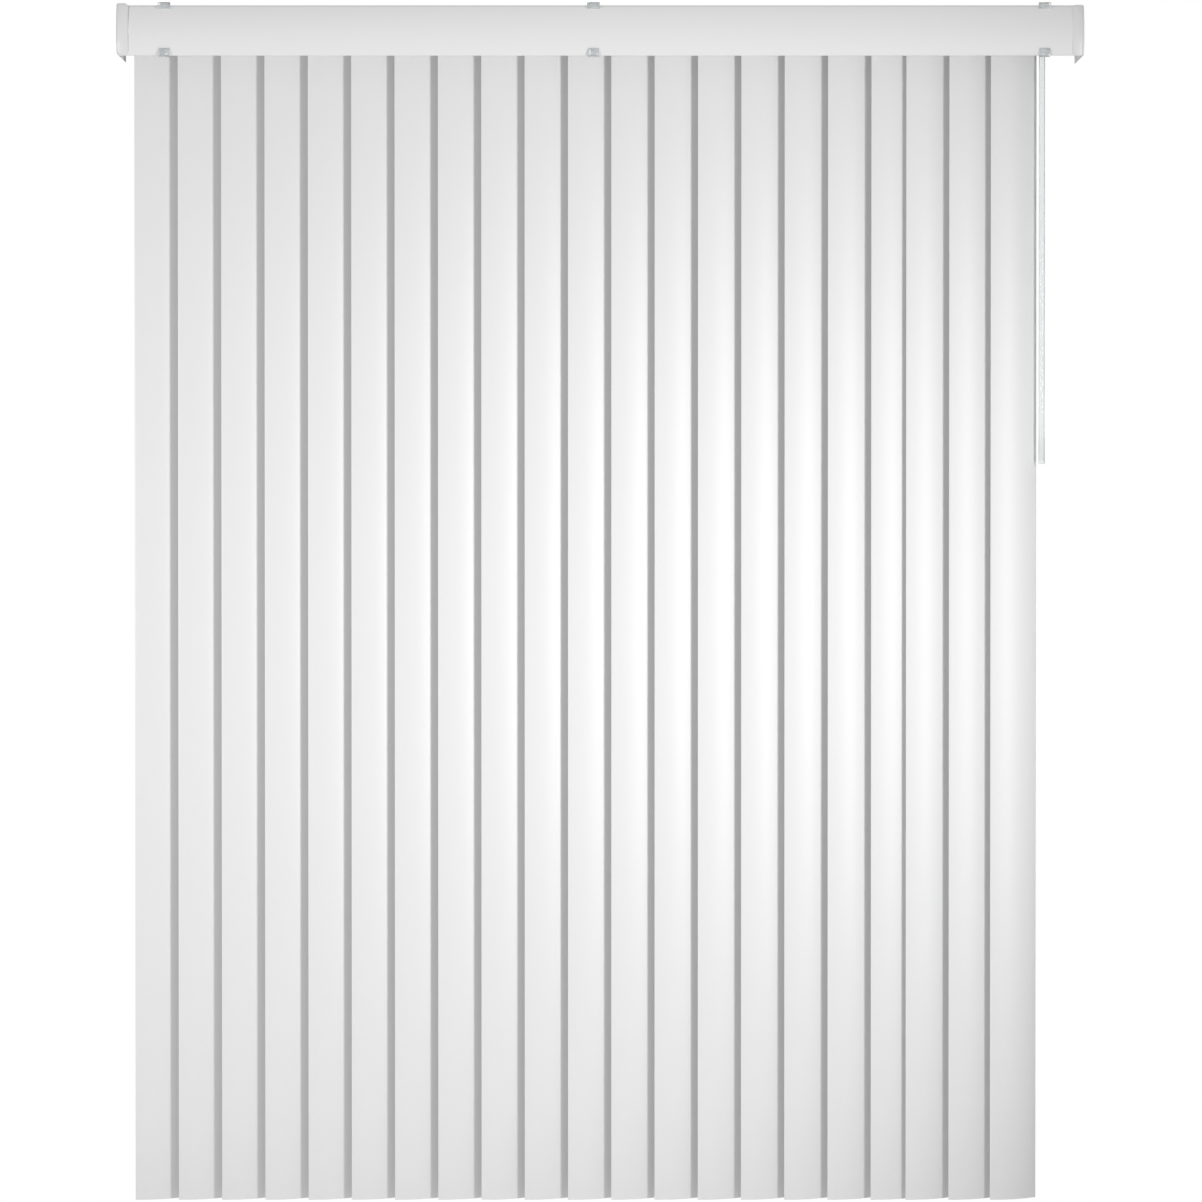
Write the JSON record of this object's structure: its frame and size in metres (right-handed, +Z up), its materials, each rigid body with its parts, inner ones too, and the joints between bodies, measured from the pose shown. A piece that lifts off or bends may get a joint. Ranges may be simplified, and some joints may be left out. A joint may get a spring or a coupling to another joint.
{
  "type": "vertical blind",
  "caption": "Vertical window blind with a clip-on valance, curved plastic vanes that draw to the left and turn together, and a clear wand that works both motions.",
  "frame": {"origin": "middle of the headrail's length, in the ceiling plane that the mounting brackets are screwed to, midway between the outer brackets' screw holes", "axes": "+X to the right along the headrail seen from the room, +Y away from the room towards the window, +Z up"},
  "size_m": [1.713, 0.0996, 2.1336],
  "materials": {
    "extrusion": "white stove-enamelled aluminium extrusion",
    "moulded_white": "injection-moulded white PVC",
    "bracket_steel": "zinc-plated spring steel",
    "rod_aluminium": "drawn fluted rod",
    "carrier_nylon": "injection-moulded acetal",
    "gear_acetal": "injection-moulded acetal",
    "vane_pvc": "extruded white PVC, satin",
    "valance_pvc": "extruded white PVC, satin",
    "clear_plastic": "clear polycarbonate"
  },
  "bodies": {
    "headrail": {"headrail": "extrusion", "headrail_end_cap_left": "moulded_white", "headrail_end_cap_right": "moulded_white", "mounting_brackets": "bracket_steel", "valance": "valance_pvc", "valance_corner_left": "moulded_white", "valance_corner_right": "moulded_white", "valance_return_left": "valance_pvc", "valance_return_right": "valance_pvc", "valance_clip_left": "clear_plastic", "valance_clip_centre": "clear_plastic", "valance_clip_right": "clear_plastic", "carrier_01": "carrier_nylon"},
    "carrier_02": {"carrier_02": "carrier_nylon"},
    "carrier_03": {"carrier_03": "carrier_nylon"},
    "carrier_04": {"carrier_04": "carrier_nylon"},
    "carrier_05": {"carrier_05": "carrier_nylon"},
    "carrier_06": {"carrier_06": "carrier_nylon"},
    "carrier_07": {"carrier_07": "carrier_nylon"},
    "carrier_08": {"carrier_08": "carrier_nylon"},
    "carrier_09": {"carrier_09": "carrier_nylon"},
    "carrier_10": {"carrier_10": "carrier_nylon"},
    "carrier_11": {"carrier_11": "carrier_nylon"},
    "carrier_12": {"carrier_12": "carrier_nylon"},
    "carrier_13": {"carrier_13": "carrier_nylon"},
    "carrier_14": {"carrier_14": "carrier_nylon"},
    "carrier_15": {"carrier_15": "carrier_nylon"},
    "carrier_16": {"carrier_16": "carrier_nylon"},
    "carrier_17": {"carrier_17": "carrier_nylon"},
    "carrier_18": {"carrier_18": "carrier_nylon"},
    "carrier_19": {"carrier_19": "carrier_nylon"},
    "carrier_20": {"carrier_20": "carrier_nylon"},
    "carrier_21": {"carrier_21": "carrier_nylon"},
    "vane_01": {"vane_01": "vane_pvc"},
    "vane_02": {"vane_02": "vane_pvc"},
    "vane_03": {"vane_03": "vane_pvc"},
    "vane_04": {"vane_04": "vane_pvc"},
    "vane_05": {"vane_05": "vane_pvc"},
    "vane_06": {"vane_06": "vane_pvc"},
    "vane_07": {"vane_07": "vane_pvc"},
    "vane_08": {"vane_08": "vane_pvc"},
    "vane_09": {"vane_09": "vane_pvc"},
    "vane_10": {"vane_10": "vane_pvc"},
    "vane_11": {"vane_11": "vane_pvc"},
    "vane_12": {"vane_12": "vane_pvc"},
    "vane_13": {"vane_13": "vane_pvc"},
    "vane_14": {"vane_14": "vane_pvc"},
    "vane_15": {"vane_15": "vane_pvc"},
    "vane_16": {"vane_16": "vane_pvc"},
    "vane_17": {"vane_17": "vane_pvc"},
    "vane_18": {"vane_18": "vane_pvc"},
    "vane_19": {"vane_19": "vane_pvc"},
    "vane_20": {"vane_20": "vane_pvc"},
    "vane_21": {"vane_21": "vane_pvc"},
    "tilt_rod": {"tilt_rod": "rod_aluminium"},
    "drive_gear": {"drive_gear": "gear_acetal"},
    "wand_stem": {"wand_stem": "clear_plastic"},
    "wand": {"wand": "clear_plastic"}
  },
  "joints": [
    {"name": "draw", "type": "slide", "parent": "headrail", "child": "carrier_21", "axis": [1, 0, 0], "range_m": [-1.0531, 0]},
    {"name": "draw_02", "type": "slide", "parent": "headrail", "child": "carrier_02", "axis": [1, 0, 0], "range_m": [-0.037, 0.0005]},
    {"name": "draw_03", "type": "slide", "parent": "headrail", "child": "carrier_03", "axis": [1, 0, 0], "range_m": [-0.0915, 0.0005]},
    {"name": "draw_04", "type": "slide", "parent": "headrail", "child": "carrier_04", "axis": [1, 0, 0], "range_m": [-0.146, 0.0005]},
    {"name": "draw_05", "type": "slide", "parent": "headrail", "child": "carrier_05", "axis": [1, 0, 0], "range_m": [-0.2005, 0.0005]},
    {"name": "draw_06", "type": "slide", "parent": "headrail", "child": "carrier_06", "axis": [1, 0, 0], "range_m": [-0.255, 0.0005]},
    {"name": "draw_07", "type": "slide", "parent": "headrail", "child": "carrier_07", "axis": [1, 0, 0], "range_m": [-0.3095, 0.0005]},
    {"name": "draw_08", "type": "slide", "parent": "headrail", "child": "carrier_08", "axis": [1, 0, 0], "range_m": [-0.364, 0.0005]},
    {"name": "draw_09", "type": "slide", "parent": "headrail", "child": "carrier_09", "axis": [1, 0, 0], "range_m": [-0.4185, 0.0005]},
    {"name": "draw_10", "type": "slide", "parent": "headrail", "child": "carrier_10", "axis": [1, 0, 0], "range_m": [-0.473, 0.0005]},
    {"name": "draw_11", "type": "slide", "parent": "headrail", "child": "carrier_11", "axis": [1, 0, 0], "range_m": [-0.5275, 0.0005]},
    {"name": "draw_12", "type": "slide", "parent": "headrail", "child": "carrier_12", "axis": [1, 0, 0], "range_m": [-0.582, 0.0005]},
    {"name": "draw_13", "type": "slide", "parent": "headrail", "child": "carrier_13", "axis": [1, 0, 0], "range_m": [-0.6365, 0.0005]},
    {"name": "draw_14", "type": "slide", "parent": "headrail", "child": "carrier_14", "axis": [1, 0, 0], "range_m": [-0.691, 0.0005]},
    {"name": "draw_15", "type": "slide", "parent": "headrail", "child": "carrier_15", "axis": [1, 0, 0], "range_m": [-0.7455, 0.0005]},
    {"name": "draw_16", "type": "slide", "parent": "headrail", "child": "carrier_16", "axis": [1, 0, 0], "range_m": [-0.8, 0.0005]},
    {"name": "draw_17", "type": "slide", "parent": "headrail", "child": "carrier_17", "axis": [1, 0, 0], "range_m": [-0.8545, 0.0005]},
    {"name": "draw_18", "type": "slide", "parent": "headrail", "child": "carrier_18", "axis": [1, 0, 0], "range_m": [-0.909, 0.0005]},
    {"name": "draw_19", "type": "slide", "parent": "headrail", "child": "carrier_19", "axis": [1, 0, 0], "range_m": [-0.9485, 0.0005]},
    {"name": "draw_20", "type": "slide", "parent": "headrail", "child": "carrier_20", "axis": [1, 0, 0], "range_m": [-1.0024, 0.0005]},
    {"name": "tilt", "type": "hinge", "parent": "carrier_21", "child": "vane_21", "pos_m": [0.7429, 0, -0.022], "axis": [0, 0, 1], "range_deg": [0, 146]},
    {"name": "tilt_01", "type": "hinge", "parent": "headrail", "child": "vane_01", "pos_m": [-0.7882, 0, -0.022], "axis": [0, 0, 1], "range_deg": [-0.5, 146.5]},
    {"name": "tilt_02", "type": "hinge", "parent": "carrier_02", "child": "vane_02", "pos_m": [-0.7107, 0, -0.022], "axis": [0, 0, 1], "range_deg": [-0.5, 146.5]},
    {"name": "tilt_03", "type": "hinge", "parent": "carrier_03", "child": "vane_03", "pos_m": [-0.6332, 0, -0.022], "axis": [0, 0, 1], "range_deg": [-0.5, 146.5]},
    {"name": "tilt_04", "type": "hinge", "parent": "carrier_04", "child": "vane_04", "pos_m": [-0.5557, 0, -0.022], "axis": [0, 0, 1], "range_deg": [-0.5, 146.5]},
    {"name": "tilt_05", "type": "hinge", "parent": "carrier_05", "child": "vane_05", "pos_m": [-0.4782, 0, -0.022], "axis": [0, 0, 1], "range_deg": [-0.5, 146.5]},
    {"name": "tilt_06", "type": "hinge", "parent": "carrier_06", "child": "vane_06", "pos_m": [-0.4007, 0, -0.022], "axis": [0, 0, 1], "range_deg": [-0.5, 146.5]},
    {"name": "tilt_07", "type": "hinge", "parent": "carrier_07", "child": "vane_07", "pos_m": [-0.3232, 0, -0.022], "axis": [0, 0, 1], "range_deg": [-0.5, 146.5]},
    {"name": "tilt_08", "type": "hinge", "parent": "carrier_08", "child": "vane_08", "pos_m": [-0.2457, 0, -0.022], "axis": [0, 0, 1], "range_deg": [-0.5, 146.5]},
    {"name": "tilt_09", "type": "hinge", "parent": "carrier_09", "child": "vane_09", "pos_m": [-0.1682, 0, -0.022], "axis": [0, 0, 1], "range_deg": [-0.5, 146.5]},
    {"name": "tilt_10", "type": "hinge", "parent": "carrier_10", "child": "vane_10", "pos_m": [-0.0907, 0, -0.022], "axis": [0, 0, 1], "range_deg": [-0.5, 146.5]},
    {"name": "tilt_11", "type": "hinge", "parent": "carrier_11", "child": "vane_11", "pos_m": [-0.0132, 0, -0.022], "axis": [0, 0, 1], "range_deg": [-0.5, 146.5]},
    {"name": "tilt_12", "type": "hinge", "parent": "carrier_12", "child": "vane_12", "pos_m": [0.0643, 0, -0.022], "axis": [0, 0, 1], "range_deg": [-0.5, 146.5]},
    {"name": "tilt_13", "type": "hinge", "parent": "carrier_13", "child": "vane_13", "pos_m": [0.1418, 0, -0.022], "axis": [0, 0, 1], "range_deg": [-0.5, 146.5]},
    {"name": "tilt_14", "type": "hinge", "parent": "carrier_14", "child": "vane_14", "pos_m": [0.2193, 0, -0.022], "axis": [0, 0, 1], "range_deg": [-0.5, 146.5]},
    {"name": "tilt_15", "type": "hinge", "parent": "carrier_15", "child": "vane_15", "pos_m": [0.2968, 0, -0.022], "axis": [0, 0, 1], "range_deg": [-0.5, 146.5]},
    {"name": "tilt_16", "type": "hinge", "parent": "carrier_16", "child": "vane_16", "pos_m": [0.3743, 0, -0.022], "axis": [0, 0, 1], "range_deg": [-0.5, 146.5]},
    {"name": "tilt_17", "type": "hinge", "parent": "carrier_17", "child": "vane_17", "pos_m": [0.4518, 0, -0.022], "axis": [0, 0, 1], "range_deg": [-0.5, 146.5]},
    {"name": "tilt_18", "type": "hinge", "parent": "carrier_18", "child": "vane_18", "pos_m": [0.5293, 0, -0.022], "axis": [0, 0, 1], "range_deg": [-0.5, 146.5]},
    {"name": "tilt_19", "type": "hinge", "parent": "carrier_19", "child": "vane_19", "pos_m": [0.5918, 0, -0.022], "axis": [0, 0, 1], "range_deg": [-0.5, 146.5]},
    {"name": "tilt_20", "type": "hinge", "parent": "carrier_20", "child": "vane_20", "pos_m": [0.6687, 0, -0.022], "axis": [0, 0, 1], "range_deg": [-0.5, 146.5]},
    {"name": "rod_spin", "type": "hinge", "parent": "headrail", "child": "tilt_rod", "pos_m": [0, -0.012, -0.022], "axis": [1, 0, 0], "range_deg": [-5, 1445]},
    {"name": "gear_spin", "type": "hinge", "parent": "carrier_21", "child": "drive_gear", "pos_m": [0.7909, -0.012, -0.022], "axis": [1, 0, 0], "range_deg": [-5, 1445]},
    {"name": "wand_turn", "type": "hinge", "parent": "carrier_21", "child": "wand_stem", "pos_m": [0.7909, 0.004, -0.022], "axis": [0, 0, 1], "range_deg": [-5, 1445]},
    {"name": "wand_swing", "type": "hinge", "parent": "wand_stem", "child": "wand", "pos_m": [0.7909, 0.004, -0.052], "axis": [-1, 0, 0], "range_deg": [-2, 30]}
  ],
  "couplings": [
    {"joint": "draw_02", "follows": "draw", "ratio": 0.03466},
    {"joint": "draw_03", "follows": "draw", "ratio": 0.086412},
    {"joint": "draw_04", "follows": "draw", "ratio": 0.13816},
    {"joint": "draw_05", "follows": "draw", "ratio": 0.18992},
    {"joint": "draw_06", "follows": "draw", "ratio": 0.24167},
    {"joint": "draw_07", "follows": "draw", "ratio": 0.29342},
    {"joint": "draw_08", "follows": "draw", "ratio": 0.34517},
    {"joint": "draw_09", "follows": "draw", "ratio": 0.39692},
    {"joint": "draw_10", "follows": "draw", "ratio": 0.44868},
    {"joint": "draw_11", "follows": "draw", "ratio": 0.50043},
    {"joint": "draw_12", "follows": "draw", "ratio": 0.55218},
    {"joint": "draw_13", "follows": "draw", "ratio": 0.60393},
    {"joint": "draw_14", "follows": "draw", "ratio": 0.65568},
    {"joint": "draw_15", "follows": "draw", "ratio": 0.70744},
    {"joint": "draw_16", "follows": "draw", "ratio": 0.75919},
    {"joint": "draw_17", "follows": "draw", "ratio": 0.81094},
    {"joint": "draw_18", "follows": "draw", "ratio": 0.86269},
    {"joint": "draw_19", "follows": "draw", "ratio": 0.9002},
    {"joint": "draw_20", "follows": "draw", "ratio": 0.95138},
    {"joint": "tilt_01", "follows": "tilt", "ratio": 1},
    {"joint": "tilt_02", "follows": "tilt", "ratio": 1},
    {"joint": "tilt_03", "follows": "tilt", "ratio": 1},
    {"joint": "tilt_04", "follows": "tilt", "ratio": 1},
    {"joint": "tilt_05", "follows": "tilt", "ratio": 1},
    {"joint": "tilt_06", "follows": "tilt", "ratio": 1},
    {"joint": "tilt_07", "follows": "tilt", "ratio": 1},
    {"joint": "tilt_08", "follows": "tilt", "ratio": 1},
    {"joint": "tilt_09", "follows": "tilt", "ratio": 1},
    {"joint": "tilt_10", "follows": "tilt", "ratio": 1},
    {"joint": "tilt_11", "follows": "tilt", "ratio": 1},
    {"joint": "tilt_12", "follows": "tilt", "ratio": 1},
    {"joint": "tilt_13", "follows": "tilt", "ratio": 1},
    {"joint": "tilt_14", "follows": "tilt", "ratio": 1},
    {"joint": "tilt_15", "follows": "tilt", "ratio": 1},
    {"joint": "tilt_16", "follows": "tilt", "ratio": 1},
    {"joint": "tilt_17", "follows": "tilt", "ratio": 1},
    {"joint": "tilt_18", "follows": "tilt", "ratio": 1},
    {"joint": "tilt_19", "follows": "tilt", "ratio": 1},
    {"joint": "tilt_20", "follows": "tilt", "ratio": 1},
    {"joint": "rod_spin", "follows": "tilt", "ratio": 9.863},
    {"joint": "gear_spin", "follows": "tilt", "ratio": 9.863},
    {"joint": "wand_turn", "follows": "tilt", "ratio": 9.863}
  ]
}
